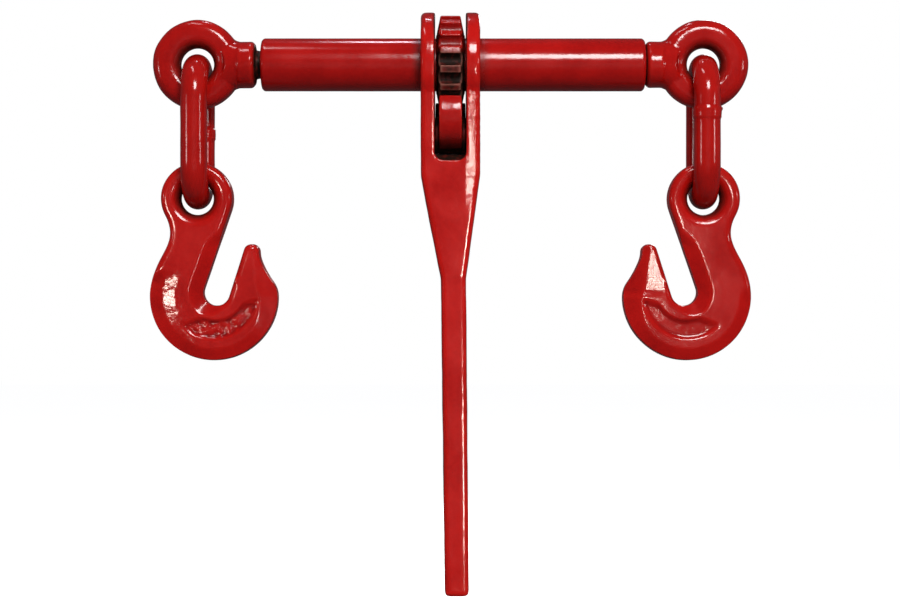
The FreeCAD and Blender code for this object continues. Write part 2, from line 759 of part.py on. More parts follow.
def plunger_top_z():
    return PAWL_PIN_Z - PAWL_CAM_R - PLUNGER_GAP


def detent_plunger():
    """A round plunger with a blunt cone for a nose."""
    top = plunger_top_z()
    nose = Part.makeCone(PLUNGER_R, NOSE_R, NOSE_LENGTH, vec(0, 0, top - NOSE_LENGTH), Z_AXIS)
    shank_length = PLUNGER_LENGTH - NOSE_LENGTH
    shank = Part.makeCylinder(PLUNGER_R, shank_length, vec(0, 0, top - PLUNGER_LENGTH), Z_AXIS)
    return nose.fuse(shank).removeSplitter()


def detent_spring():
    """An open coil spring between the bore's floor and the plunger."""
    low = DETENT_BORE_BOTTOM_Z + SPRING_WIRE_R + SPRING_END_GAP
    high = plunger_top_z() - PLUNGER_LENGTH - SPRING_WIRE_R - SPRING_END_GAP
    helix = Part.makeHelix((high - low) / SPRING_TURNS, high - low, SPRING_R)
    section = Part.Wire(Part.makeCircle(SPRING_WIRE_R, vec(SPRING_R, 0, 0), Y_AXIS))
    spring = Part.Wire([helix]).makePipeShell([section], True, True)
    spring.translate(vec(0, 0, low))
    return spring


def save_all():
    os.makedirs("parts", exist_ok=True)
    save("barrel", barrel())
    save("ratchet_gear", ratchet_gear())
    save("handle", handle())
    save("pawl", pawl())
    save("pawl_pin", pawl_pin())
    save("detent_plunger", detent_plunger())
    save("detent_spring", detent_spring())
    for name, side, barrel_end_x in (("_right", 1, BARREL_RIGHT_X), ("_left", -1, -BARREL_LEFT_X)):
        save("gear_weld" + name, on_side(gear_weld(), side))
        save("eye_screw" + name, eye_screw(side, barrel_end_x))
        save("stop_washer" + name, on_side(stop_washer(barrel_end_x), side))
        save("stop_pin" + name, on_side(stop_pin(barrel_end_x), side))
        save("link" + name, on_side(link(), side))
        save("hook" + name, on_side(hook(), side))


save_all()
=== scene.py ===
"""The looks of a ratchet load binder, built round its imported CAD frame.

Metres, +Z up. The origin is the centre of the ratchet gear on the barrel's axis.
Forged pieces start from their CAD node, remeshed fine enough to hold forging marks.
Turned pieces are drawn as profiles spun round the X axis.
"""

import math

import bmesh
import bpy
import numpy as np
from mathutils import Matrix, Vector, noise

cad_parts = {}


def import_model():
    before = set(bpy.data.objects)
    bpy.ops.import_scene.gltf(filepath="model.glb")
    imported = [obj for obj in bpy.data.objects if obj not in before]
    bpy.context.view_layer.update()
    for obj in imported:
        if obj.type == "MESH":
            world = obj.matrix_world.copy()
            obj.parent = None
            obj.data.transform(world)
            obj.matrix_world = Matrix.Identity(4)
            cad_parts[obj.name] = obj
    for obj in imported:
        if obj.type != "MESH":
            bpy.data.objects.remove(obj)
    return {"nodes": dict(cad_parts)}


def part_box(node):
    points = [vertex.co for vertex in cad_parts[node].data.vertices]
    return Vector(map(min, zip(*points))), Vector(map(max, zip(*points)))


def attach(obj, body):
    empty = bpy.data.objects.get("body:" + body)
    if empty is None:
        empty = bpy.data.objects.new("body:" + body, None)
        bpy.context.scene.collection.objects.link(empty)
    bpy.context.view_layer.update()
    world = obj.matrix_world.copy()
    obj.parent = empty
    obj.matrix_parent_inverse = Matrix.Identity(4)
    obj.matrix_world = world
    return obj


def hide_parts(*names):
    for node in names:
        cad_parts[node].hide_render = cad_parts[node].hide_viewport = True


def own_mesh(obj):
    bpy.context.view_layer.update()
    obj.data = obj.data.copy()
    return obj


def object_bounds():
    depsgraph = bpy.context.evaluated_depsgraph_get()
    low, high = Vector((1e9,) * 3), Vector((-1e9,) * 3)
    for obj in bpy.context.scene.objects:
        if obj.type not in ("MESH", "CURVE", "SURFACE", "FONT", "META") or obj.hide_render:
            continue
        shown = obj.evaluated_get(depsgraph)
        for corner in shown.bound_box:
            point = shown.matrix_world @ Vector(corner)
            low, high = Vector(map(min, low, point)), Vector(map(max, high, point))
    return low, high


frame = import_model()
cad_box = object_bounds()

MM = 0.001
SIDES = (("_right", 1), ("_left", -1))

# The barrel and its threads, as in the CAD model
BARREL_R = 17.5 * MM
BARREL_LEFT_X = -125.2 * MM
BARREL_RIGHT_X = 128.8 * MM
RELIEF_R = 13.6 * MM
TAPPED = 20.0 * MM
LEAD = 6.35 * MM
CREST_R = 12.0 * MM
ROOT_R = 9.4 * MM
CREST_HALF = 1.15 * MM
FLANK_SLOPE = 0.27
PLAY = 0.3 * MM
PHASE_X = 100.0 * MM
UNDERCUT_R = 9.2 * MM
COLLAR_X = 129.3 * MM
UNDERCUT = 7.0 * MM
RING = 96

# Eyes, links and hooks
EYE_X = 168.0 * MM
EYE_HOLE_R = 11.1 * MM
WIRE_R = 8.75 * MM
LINK_ROWS = 260
LINK_RING = 44
HOOK_EYE_Z = -89.1 * MM
HOOK_HALF = 10.0 * MM
HOOK_BODY_R = 42.3 * MM
HOOK_BODY = (11.3 * MM, -64.8 * MM)
SLOT_R = 8.9 * MM
SLOT = (13.0 * MM, -62.2 * MM)
SHANK_NORMAL = math.radians(-19.07)
RECESS = (11.3 * MM, -63.2 * MM)
RECESS_R = 30.5 * MM
RECESS_DEPTH = 1.7 * MM
# How far out the edge of the hook's tip lies at each height
TIP_HEIGHTS = np.array([-68.0, -64.5, -61.0, -57.0, -52.5, -42.6, -35.0, -30.0]) * MM
TIP_EDGES = np.array([53.5, 53.5, 52.8, 51.1, 48.5, 43.2, 41.4, 41.4]) * MM

# Handle and pawl
SLOT_HALF_X = 10.3 * MM
SLOT_BOTTOM_Z = -64.3 * MM
PAWL_PIN_Z = -47.0 * MM
PAWL_PIN_R = 4.75 * MM


# Meshes


def smooth_step(low, high, values):
    """0 at low and 1 at high, with a smooth run between them; low may be the larger one."""
    share = np.clip((values - low) / (high - low), 0.0, 1.0)
    return share * share * (3 - 2 * share)


def points_of(mesh):
    """All points as rows of x, y and z."""
    flat = np.empty(len(mesh.vertices) * 3)
    mesh.vertices.foreach_get("co", flat)
    return flat.reshape(-1, 3)


def normals_of(mesh):
    """The normal at each point."""
    flat = np.empty(len(mesh.vertices) * 3)
    mesh.vertex_normals.foreach_get("vector", flat)
    return flat.reshape(-1, 3)


def put_points(mesh, points):
    """Moves the mesh to these points."""
    mesh.vertices.foreach_set("co", points.astype(np.float32).ravel())
    mesh.update()


def noise_at(points, size, seed):
    """Smooth noise from about -1 to 1, with features of about this size."""
    shift = Vector((7.3, 3.1, 5.7)) * seed
    return np.array([noise.noise(Vector(p) / size + shift) for p in points])


def neighbour_mean(mesh, values):
    """Each vertex's mean of its neighbours' values."""
    ends = np.empty(len(mesh.edges) * 2, dtype=np.int64)
    mesh.edges.foreach_get("vertices", ends)
    ends = ends.reshape(-1, 2)
    total = np.zeros_like(values)
    count = np.zeros(len(values))
    for here, there in ((0, 1), (1, 0)):
        np.add.at(total, ends[:, here], values[ends[:, there]])
        np.add.at(count, ends[:, here], 1)
    shape = (-1,) + (1,) * (values.ndim - 1)
    return total / np.maximum(count, 1).reshape(shape)


def soften(mesh, rounds, share=0.5):
    """Draws each point towards the mean of its neighbours."""
    points = points_of(mesh)
    for _ in range(rounds):
        points += share * (neighbour_mean(mesh, points) - points)
    put_points(mesh, points)


def mark(mesh, **fields):
    """Stores per-point values that the materials read."""
    for name, values in fields.items():
        layer = mesh.attributes.new(name, "FLOAT", "POINT")
        layer.data.foreach_set("value", values.astype(np.float32))


def mark_edges(mesh, spacing, sharp_r=2.5 * MM):
    """Marks ridges and hollows: 1 where the surface turns within sharp_r."""
    points, normals = points_of(mesh), normals_of(mesh)
    out = -np.sum((neighbour_mean(mesh, points) - points) * normals, axis=1)
    bend = out * 4 * sharp_r / spacing**2
    for _ in range(3):
        bend = neighbour_mean(mesh, bend)
    # The enamel lays a painted highlight on ridges and painted shade in hollows from these
    mark(mesh, ridge=np.clip(bend, 0, 1), hollow=np.clip(-bend, 0, 1))


def clean(mesh, merge=1e-6):
    """Joins points that coincide and turns every face outwards."""
    work = bmesh.new()
    work.from_mesh(mesh)
    bmesh.ops.remove_doubles(work, verts=work.verts, dist=merge)
    bmesh.ops.dissolve_degenerate(work, edges=work.edges, dist=merge)
    bmesh.ops.recalc_face_normals(work, faces=work.faces)
    work.to_mesh(mesh)
    work.free()
    mesh.update()


def make_object(name, mesh, sharp_angle=None):
    """A smooth shaded piece; edges sharper than the angle stay sharp."""
    obj = bpy.data.objects.new(name, mesh)
    bpy.context.scene.collection.objects.link(obj)
    mesh.shade_smooth()
    if sharp_angle is not None:
        mesh.set_sharp_from_angle(angle=math.radians(sharp_angle))
    return obj


def grid_mesh(name, grids, caps=()):
    """A mesh of quads over grids of points, each (rows, columns, 3), welded where they meet."""
    points, faces = [], []
    for grid in grids:
        rows, columns = grid.shape[:2]
        start = len(points)
        points += grid.reshape(-1, 3).tolist()
        for row in range(rows - 1):
            first = start + row * columns
            for column in range(columns - 1):
                here = first + column
                faces.append((here, here + 1, here + columns + 1, here + columns))
    for loop in caps:
        start = len(points)
        points += loop.tolist()
        faces.append(tuple(range(start, start + len(loop))))
    mesh = bpy.data.meshes.new(name)
    mesh.from_pydata(points, [], faces)
    clean(mesh)
    return mesh


def spun(stations, radii):
    """Points round the X axis for each row of stations and radii, given per row or per point."""
    turn = 2 * math.pi * np.arange(RING + 1) / RING
    stations = np.broadcast_to(np.reshape(stations, (len(stations), -1)), (len(stations), RING + 1))
    radii = np.broadcast_to(np.reshape(radii, (len(radii), -1)), (len(radii), RING + 1))
    return np.stack([stations, radii * np.sin(turn), -radii * np.cos(turn)], axis=2)


def spun_profile(profile):
    """A profile of (station, radius) pairs spun round the X axis."""
    stations, radii = zip(*profile)
    return spun(stations, radii)


def rounded(corners, radius, steps=5):
    """A profile with its inner corners rounded."""
    made = [corners[0]]
    for before, corner, after in zip(corners, corners[1:], corners[2:]):
        here = Vector(corner)
        back, onward = Vector(before) - here, Vector(after) - here
        reach = min(radius, back.length * 0.49, onward.length * 0.49)
        start, end = here + back.normalized() * reach, here + onward.normalized() * reach
        for step in range(steps + 1):
            share = step / steps
            made.append(tuple(start.lerp(here, share).lerp(here.lerp(end, share), share)))
    return made + [corners[-1]]


def spread(profile, spacing):
    """The profile with more points along its long runs."""
    made = [profile[0]]
    for before, after in zip(profile, profile[1:]):
        length = (Vector(after) - Vector(before)).length
        count = max(1, math.ceil(length / spacing))
        for step in range(1, count + 1):
            made.append(tuple(Vector(before).lerp(Vector(after), step / count)))
    return made


def thread_grid(side, start, end, root_r, crest_r, crest_half, open_r, run_out):
    """A thread between two stations. Its rows follow the helix and fade to open_r at both ends."""
    turn = np.arange(RING + 1) / RING
    root_half = crest_half + FLANK_SLOPE * (crest_r - root_r)
    soft = 0.25 * MM
    profile = [
        (-crest_half, crest_r - soft),
        (-crest_half + soft, crest_r),
        (crest_half - soft, crest_r),
        (crest_half, crest_r - soft),
        (root_half - soft * FLANK_SLOPE, root_r + soft),
        (root_half + soft, root_r),
        (LEAD - root_half - soft, root_r),
        (LEAD - root_half + soft * FLANK_SLOPE, root_r + soft),
    ]
    first = math.floor((start - PHASE_X) / LEAD) - 2
    last = math.ceil((end - PHASE_X) / LEAD) + 1
    stations, radii = [], []
    for lap in range(first, last + 1):
        for along, radius in profile:
            x = np.clip(PHASE_X + lap * LEAD + along + LEAD * turn, start, end)
            inside = smooth_step(0, run_out, np.minimum(x - start, end - x))
            stations.append(side * x)
            radii.append(open_r + (radius - open_r) * inside)
    return spun(np.array(stations), np.array(radii))


def joined_copy(nodes):
    """One mesh with the shape of these CAD nodes, welded."""
    work = bmesh.new()
    for node in nodes:
        work.from_mesh(frame["nodes"][node].data)
    bmesh.ops.remove_doubles(work, verts=work.verts, dist=1e-6)
    mesh = bpy.data.meshes.new(nodes[0] + "_copy")
    work.to_mesh(mesh)
    work.free()
    return mesh


def remeshed(name, nodes, voxel, rounds):
    """The nodes' shape as one even, closed skin with softened edges."""
    temporary = bpy.data.objects.new(name + "_source", joined_copy(nodes))
    bpy.context.scene.collection.objects.link(temporary)
    remesh = temporary.modifiers.new("remesh", "REMESH")
    remesh.mode = "VOXEL"
    remesh.voxel_size = voxel
    graph = bpy.context.evaluated_depsgraph_get()
    mesh = bpy.data.meshes.new_from_object(temporary.evaluated_get(graph))
    mesh.name = name
    bpy.data.objects.remove(temporary)
    soften(mesh, rounds)
    return mesh


def roughen(mesh, *layers):
    """Pushes the surface in and out by layers of (feature size, height, seed, share per point)."""
    points, normals = points_of(mesh), normals_of(mesh)
    push = np.zeros(len(points))
    for size, height, seed, share in layers:
        push += height * share * noise_at(points, size, seed)
    put_points(mesh, points + normals * push[:, None])


def add_parting_ridge(mesh, height=0.22 * MM, half_width=1.1 * MM):
    """The line that trimming the forging's flash leaves round its middle plane."""
    points, normals = points_of(mesh), normals_of(mesh)
    across = np.clip(1 - (points[:, 1] / half_width) ** 2, 0, 1)
    sideways = smooth_step(0.8, 0.97, np.hypot(normals[:, 0], normals[:, 2]))
    put_points(mesh, points + normals * (height * across * sideways)[:, None])


# Materials


def add(tree, kind, inputs=None, **settings):
    """A shader node whose inputs are linked to a socket or set to a value."""
    made = tree.nodes.new("ShaderNode" + kind)
    for key, value in settings.items():
        setattr(made, key, value)
    for key, value in (inputs or {}).items():
        socket = made.inputs[key]
        if isinstance(value, bpy.types.NodeSocket):
            tree.links.new(value, socket)
        else:
            socket.default_value = value
    return made


def mix(tree, share, first, second):
    """A colour between two, by a share from 0 to 1."""
    made = add(tree, "Mix", {0: share, 6: first, 7: second}, data_type="RGBA")
    return made.outputs[2]


def maths(tree, operation, *values, clamp=False):
    """The result of one operation on values or sockets."""
    made = add(tree, "Math", dict(enumerate(values)), operation=operation, use_clamp=clamp)
    return made.outputs[0]


def marked(tree, name):
    """A share stored on the points by mark."""
    return add(tree, "Attribute", attribute_name=name).outputs["Fac"]


def mottle(tree, place, scale, detail=3.0, low=0.0, high=1.0):
    """Noise with features of 1/scale metres, stretched to run from low to high."""
    source = add(tree, "TexNoise", {"Vector": place, "Scale": scale, "Detail": detail})
    spread_out = {"Value": source.outputs["Fac"], 1: 0.35, 2: 0.65, 3: low, 4: high}
    return add(tree, "MapRange", spread_out).outputs[0]


def bumped(tree, height, distance, below=None):
    """A normal that shows this height, on top of the one below it."""
    inputs = {"Height": height, "Distance": distance, "Strength": 1.0}
    if below is not None:
        inputs["Normal"] = below
    return add(tree, "Bump", inputs).outputs["Normal"]


def new_material(name):
    """An empty material, its node tree and the place of each point."""
    material = bpy.data.materials.new(name)
    material.use_nodes = True
    material.node_tree.nodes.clear()
    tree = material.node_tree
    return material, tree, add(tree, "TexCoord").outputs["Object"]


def finish_material(tree, **inputs):
    """Joins the inputs in one shader; an underscore in a name stands for a space."""
    named = {key.replace("_", " "): value for key, value in inputs.items()}
    shader = add(tree, "BsdfPrincipled", named)
    output = add(tree, "OutputMaterial")
    tree.links.new(shader.outputs[0], output.inputs[0])


# Paint tones, grease with painted shade, and rubbed edges with a painted highlight
PAINT_DEEP = (0.33, 0.0032, 0.0026, 1)
PAINT_LIGHT = (0.43, 0.0046, 0.0033, 1)
PAINT_SPECK = (0.52, 0.0075, 0.0045, 1)
# Lighter red for ridges: thin paint, and a painted highlight
PAINT_THIN_AND_HIGHLIGHT = (0.55, 0.016, 0.010, 1)
# Painted shade for hollows and creases
PAINT_HOLLOW_SHADE = (0.11, 0.003, 0.003, 1)
PAINT_PIT = (0.06, 0.004, 0.003, 1)
# Dark grease, also laid as painted shade in slots, gaps and holes
GREASE_AND_SHADE = (0.016, 0.0075, 0.005, 1)
# Pale rubbed edges, also a painted highlight on the edges of the lower teeth
RUBBED_EDGE_AND_HIGHLIGHT = (0.30, 0.11, 0.08, 1)


def enamel(name, peel=0.022 * MM, hammer=0.35 * MM, gloss=0.11):
    """Thick glossy red paint: uneven in tone, lighter on ridges as thin paint with a painted highlight, with
    painted shade in hollows, and dark grease with painted shade where marked.
    """
    material, tree, place = new_material(name)
    flow = mottle(tree, place, 45.0)
    fine = mottle(tree, place, 420.0)
    ridge = marked(tree, "ridge")
    tone = mix(tree, flow, PAINT_DEEP, PAINT_LIGHT)
    tone = mix(tree, maths(tree, "MULTIPLY", fine, 0.25), tone, PAINT_SPECK)
    # Ridges lighter: thin paint there, and a painted highlight
    tone = mix(tree, maths(tree, "MULTIPLY", ridge, 0.35), tone, PAINT_THIN_AND_HIGHLIGHT)
    # Painted shade in hollows, where the surface turns inwards
    shaded_hollows = maths(tree, "MULTIPLY", marked(tree, "hollow"), 0.7, clamp=True)
    tone = mix(tree, shaded_hollows, tone, PAINT_HOLLOW_SHADE)
    smears = mottle(tree, place, 260.0, 4.0, 0.85, 1.2)
    # Dark grease, and painted shade where the marked share stands for shade
    grease_and_shade_share = maths(tree, "MULTIPLY", marked(tree, "grime"), smears, clamp=True)
    tone = mix(tree, grease_and_shade_share, tone, GREASE_AND_SHADE)
    # Pale lines on edges where marked: wear, and a painted highlight
    rubbed_and_lit = maths(tree, "MULTIPLY", ridge, marked(tree, "worn"))
    rubbed_and_lit = maths(tree, "MULTIPLY", rubbed_and_lit, 0.8, clamp=True)
    tone = mix(tree, rubbed_and_lit, tone, RUBBED_EDGE_AND_HIGHLIGHT)
    pits = add(tree, "TexVoronoi", {"Vector": place, "Scale": 260.0}).outputs["Distance"]
    pit = maths(tree, "LESS_THAN", pits, mottle(tree, place, 90.0, 2.0, -0.12, 0.07))
    tone = mix(tree, maths(tree, "MULTIPLY", pit, 0.6), tone, PAINT_PIT)
    rough = maths(tree, "MULTIPLY_ADD", flow, 0.05, gloss)
    rough = maths(tree, "ADD", rough, maths(tree, "MULTIPLY", grease_and_shade_share, 0.45))
    shine = maths(tree, "SUBTRACT", 0.5, maths(tree, "MULTIPLY", grease_and_shade_share, 0.4))
    surface = bumped(tree, mottle(tree, place, 330.0, 2.0), peel)
    crinkle = maths(tree, "MULTIPLY", mottle(tree, place, 620.0, 4.0), marked(tree, "hammer"))
    surface = bumped(tree, crinkle, hammer, surface)
    finish_material(tree, Base_Color=tone, Roughness=rough, Normal=surface, Specular_IOR_Level=shine)
    return material


def steel(name, light, dark, rough, scratch=(40.0, 900.0, 900.0)):
    """Plain steel under a film of oil, with fine turning marks across the X axis."""
    material, tree, place = new_material(name)
    stretched = add(tree, "Mapping", {"Vector": place, "Scale": scratch}).outputs[0]
    marks = mottle(tree, stretched, 1.0, 2.0)
    stain = mottle(tree, place, 140.0, 4.0)
    tone = mix(tree, stain, light, dark)
    tone = mix(tree, maths(tree, "MULTIPLY", marks, 0.3), tone, (0.05, 0.045, 0.04, 1))
    grease_and_shade_share = maths(tree, "MULTIPLY", marked(tree, "grime"), 0.9, clamp=True)
    tone = mix(tree, grease_and_shade_share, tone, (0.02, 0.013, 0.009, 1))
    uneven = maths(tree, "MULTIPLY_ADD", stain, 0.2, rough)
    surface = bumped(tree, marks, 0.01 * MM)
    finish_material(tree, Base_Color=tone, Roughness=uneven, Metallic=0.85, Normal=surface)
    return material


RED = enamel("red_enamel")
RED_TUBE = enamel("red_enamel_on_tube", peel=0.016 * MM, gloss=0.13)
OILED_STEEL = steel("oiled_steel", (0.30, 0.29, 0.27, 1), (0.13, 0.11, 0.09, 1), 0.28)
GREASED_THREAD = steel("greased_thread", (0.12, 0.095, 0.07, 1), (0.045, 0.03, 0.02, 1), 0.24)
SPRING_STEEL = steel("spring_steel", (0.16, 0.16, 0.17, 1), (0.07, 0.07, 0.08, 1), 0.3)


def dressed(obj, body, slot, nodes, *materials):
    """Gives a piece its materials and its body, and hides the CAD nodes that it stands for. The slot is not
    used.
    """
    for material in materials:
        obj.data.materials.append(material)
    if nodes:
        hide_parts(*nodes)
    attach(obj, body)
    return obj


# Barrel, gear and welds


def barrel_outside():
    """The tube from one bore, over its rounded ends, to the other bore."""
    inner_r = CREST_R + PLAY
    edge = 1.6 * MM
    corners = [
        (BARREL_LEFT_X, inner_r),
        (BARREL_LEFT_X, BARREL_R - edge),
        (BARREL_LEFT_X + edge, BARREL_R),
        (BARREL_RIGHT_X - edge, BARREL_R),
        (BARREL_RIGHT_X, BARREL_R - edge),
        (BARREL_RIGHT_X, inner_r),
    ]
    return spun_profile(spread(rounded(corners, 0.9 * MM), 1.6 * MM))


def barrel():
    """The tube with its rounded ends and the thread inside each of them."""
    inner_r = CREST_R + PLAY
    fit = (ROOT_R + PLAY, inner_r, CREST_HALF + PLAY, inner_r, 0.4 * LEAD)
    right_start, left_start = BARREL_RIGHT_X - TAPPED, -BARREL_LEFT_X - TAPPED
    relief = [
        (-left_start, inner_r),
        (-left_start, RELIEF_R),
        (right_start, RELIEF_R),
        (right_start, inner_r),
    ]
    grids = [
        barrel_outside(),
        thread_grid(1, right_start, BARREL_RIGHT_X, *fit),
        thread_grid(-1, left_start, -BARREL_LEFT_X, *fit),
        spun_profile(relief),
    ]
    mesh = grid_mesh("barrel_tube", grids)
    points = points_of(mesh)
    radius = np.hypot(points[:, 1], points[:, 2])
    outside = smooth_step(RELIEF_R + 1.5 * MM, BARREL_R - 0.4 * MM, radius)
    roughen(mesh, (28 * MM, 0.05 * MM, 1, outside), (7 * MM, 0.018 * MM, 2, outside))
    near_gear = 1 - smooth_step(20 * MM, 27 * MM, np.abs(points[:, 0]))
    inside = 1 - smooth_step(RELIEF_R, RELIEF_R + 2 * MM, radius)
    mark(mesh, grime=np.maximum(inside, 0.35 * near_gear))
    obj = make_object("barrel_tube", mesh, 40)
    return dressed(obj, "barrel", "red_enamel", ["barrel"], RED_TUBE)


def gear():
    """Sixteen cast teeth, painted red above; the lower ones and the tooth gaps are darkened as grease with
    painted shade, and the lower teeth's edges are pale as wear with a painted highlight.
    """
    voxel = 0.45 * MM
    mesh = remeshed("gear_teeth", ["ratchet_gear"], voxel, 5)
    roughen(mesh, (5 * MM, 0.06 * MM, 3, 1.0), (1.6 * MM, 0.02 * MM, 4, 1.0))
    points = points_of(mesh)
    radius = np.hypot(points[:, 1], points[:, 2])
    depth = 1 - smooth_step(27 * MM, 32 * MM, radius)
    low = 1 - smooth_step(2 * MM, 9 * MM, points[:, 2])
    mark_edges(mesh, voxel, 1.5 * MM)
    # Painted shade in the tooth gaps and on the lower teeth, with grease
    grime = np.clip(low * (0.82 + 0.18 * depth) + 0.3 * depth, 0, 1)
    mark(mesh, grime=grime, worn=low, hammer=np.full(len(points), 0.2))
    obj = make_object("gear_teeth", mesh)
    return dressed(obj, "barrel", "red_enamel", ["ratchet_gear"], RED)


def weld_bead(name, side):
    """A bead laid in short overlapping steps."""
    low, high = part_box("gear_weld" + name)
    outer_x = max(abs(low[0]), abs(high[0]))
    inner_x = min(abs(low[0]), abs(high[0]))
    root_r, top_r = BARREL_R + 0.05 * MM, high[2]
    crown = 0.3 * MM
    laps = 40
    turn = 2 * math.pi * np.arange(RING + 1) / RING
    lap = np.abs(np.sin(turn * laps / 2 + 0.6 * np.sin(turn * 3)))
    lap[-1] = lap[0]
    stations, radii = [], []
    for part in np.linspace(0, 1, 9):
        face_x = outer_x - crown * part
        swell = math.sin(math.pi * part)
        stations.append(side * (face_x + 0.25 * MM * swell * lap))
        radii.append(np.full(RING + 1, root_r + (top_r - root_r) * part))
    grid = spun(np.array(stations), np.array(radii))
    root = [(outer_x, root_r), (inner_x, root_r), (outer_x - crown, top_r)]
    mesh = grid_mesh("weld_bead" + name, [grid, spun_profile([(side * x, r) for x, r in root])])
    mark(mesh, grime=np.full(len(mesh.vertices), 0.45))
    obj = make_object("weld_bead" + name, mesh, 50)
    return dressed(obj, "barrel", "red_enamel", ["gear_weld" + name], RED)


# Eye screws


def forged_eye(name, side):
    """Collar, neck and ring, cut from the remeshed screw where its undercut begins."""
    voxel = 0.7 * MM
    mesh = remeshed("forged_eye" + name, ["eye_screw" + name], voxel, 4)
    work = bmesh.new()
    work.from_mesh(mesh)
    cut = Vector((side * (COLLAR_X - 2 * MM), 0, 0))
    everything = work.verts[:] + work.edges[:] + work.faces[:]
    bmesh.ops.bisect_plane(work, geom=everything, plane_co=cut, plane_no=(side, 0, 0), clear_inner=True)
    rim = [edge for edge in work.edges if edge.is_boundary]
    bmesh.ops.contextual_create(work, geom=rim)
    bmesh.ops.recalc_face_normals(work, faces=work.faces)
    work.to_mesh(mesh)
    work.free()
    points = points_of(mesh)
    from_eye = np.hypot(points[:, 0] - side * EYE_X, points[:, 2])
    body = smooth_step(COLLAR_X, COLLAR_X + 3 * MM, side * points[:, 0])
    free = body * smooth_step(EYE_HOLE_R, EYE_HOLE_R + 3 * MM, from_eye)
    roughen(mesh, (15 * MM, 0.40 * MM, 5 + side, free), (5 * MM, 0.06 * MM, 7, free))
    add_parting_ridge(mesh)
    inside_hole = 1 - smooth_step(EYE_HOLE_R, EYE_HOLE_R + 6 * MM, from_eye)
    at_collar = 1 - smooth_step(COLLAR_X, COLLAR_X + 1.5 * MM, side * points[:, 0])
    mark_edges(mesh, voxel)
    # Painted shade inside the hole; grease at the collar
    mark(mesh, grime=np.clip(0.75 * inside_hole + 0.9 * at_collar, 0, 1), hammer=0.06 * free)
    obj = make_object("forged_eye" + name, mesh)
    return dressed(obj, "eye_screw" + name, "red_enamel", ["eye_screw" + name], RED)


def screw_thread(name, side):
    """The screw behind the collar, down to its turned end."""
    low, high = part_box("eye_screw" + name)
    start = low[0] if side > 0 else -high[0]
    washer_low, washer_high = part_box("stop_washer" + name)
    thread_start = max(abs(washer_low[0]), abs(washer_high[0])) + 0.2 * MM
    thread_end = COLLAR_X - UNDERCUT
    tip = [
        (start, 4 * MM),
        (start, 7.7 * MM),
        (start + 1.5 * MM, UNDERCUT_R),
        (thread_start, UNDERCUT_R),
        (thread_start, ROOT_R),
    ]
    tail = [(thread_end, ROOT_R), (thread_end, UNDERCUT_R), (COLLAR_X + 0.5 * MM, UNDERCUT_R)]
    grids = [
        spun_profile([(side * x, r) for x, r in rounded(tip, 0.6 * MM)]),
        thread_grid(side, thread_start, thread_end, ROOT_R, CREST_R, CREST_HALF, ROOT_R, 0.5 * LEAD),
        spun_profile([(side * x, r) for x, r in tail]),
    ]
    mesh = grid_mesh("screw_thread" + name, grids, (grids[0][0][:-1], grids[2][-1][:-1]))
    radius = np.hypot(*points_of(mesh)[:, 1:].T)
    mark(mesh, grime=1 - smooth_step(ROOT_R, CREST_R - 0.3 * MM, radius))
    obj = make_object("screw_thread" + name, mesh, 35)
    return dressed(obj, "eye_screw" + name, "bare_steel", [], GREASED_THREAD)


def stop_washer(name):
    """A plain washer with its edges broken."""
    node = "stop_washer" + name
    low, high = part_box(node)
    inner_r = UNDERCUT_R + 0.2 * MM
    corners = [(low[0], high[2]), (high[0], high[2]), (high[0], inner_r), (low[0], inner_r)]
    middle = (0.5 * (low[0] + high[0]), inner_r)
    loop = rounded([middle, corners[3], corners[0], corners[1], corners[2], middle], 0.35 * MM)
    obj = make_object("washer" + name, grid_mesh(node, [spun_profile(loop)]), 40)
    return dressed(obj, "eye_screw" + name, "bare_steel", [node], OILED_STEEL)


# Links


def link(name, side):
    """Round bar bent to an oval and butt welded, with the weld left standing on one leg."""
    low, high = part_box("link" + name)
    bend_r = (high[1] - low[1]) / 2 - WIRE_R
    top, bottom = high[2] - WIRE_R - bend_r, low[2] + WIRE_R + bend_r
    straight, half_turn = top - bottom, math.pi * bend_r
    total = 2 * (straight + half_turn)
    weld_at = 0.25 * straight if side > 0 else 1.5 * straight + half_turn
    rows = []
    for index in range(LINK_ROWS):
        along = total * index / LINK_ROWS
        centre, outward = oval_point(along, straight, bend_r, top, bottom)
        from_weld = min(abs(along - weld_at), total - abs(along - weld_at))
        rows.append(wire_ring(centre, outward, side, weld_swell(from_weld)))
    grid = np.array(rows + rows[:1])
    grid[:, :, 0] += side * EYE_X
    mesh = grid_mesh("chain_link" + name, [grid])
    add_weld_spur(mesh, side, oval_point(weld_at, straight, bend_r, top, bottom)[0])
    roughen(mesh, (14 * MM, 0.14 * MM, 11 + side, 1.0), (3.5 * MM, 0.02 * MM, 13, 1.0))
    points = points_of(mesh)
    at_eye = 1 - smooth_step(9 * MM, 16 * MM, np.abs(points[:, 2] - (high[2] - WIRE_R)))
    at_hook = 1 - smooth_step(9 * MM, 16 * MM, np.abs(points[:, 2] - (low[2] + WIRE_R)))
    middle = 1 - smooth_step(8 * MM, 17 * MM, np.abs(points[:, 1]))
    mark_edges(mesh, 1.0 * MM, 2 * MM)
    # Painted shade where the link lies in the eye and in the hook
    grime = 0.3 * np.maximum(at_eye, at_hook) * middle
    mark(mesh, grime=grime, hammer=np.full(len(points), 0.02))
    obj = make_object("chain_link" + name, mesh)
    return dressed(obj, "link" + name, "red_enamel", ["link" + name], RED)


def weld_swell(from_weld):
    """How far the weld stands up at a distance along the bar: a collar with a lip each side."""
    collar = 0.65 * MM * math.exp(-((from_weld / (2.6 * MM)) ** 4))
    return collar + 0.5 * MM * math.exp(-(((from_weld - 3.0 * MM) / (0.7 * MM)) ** 2))


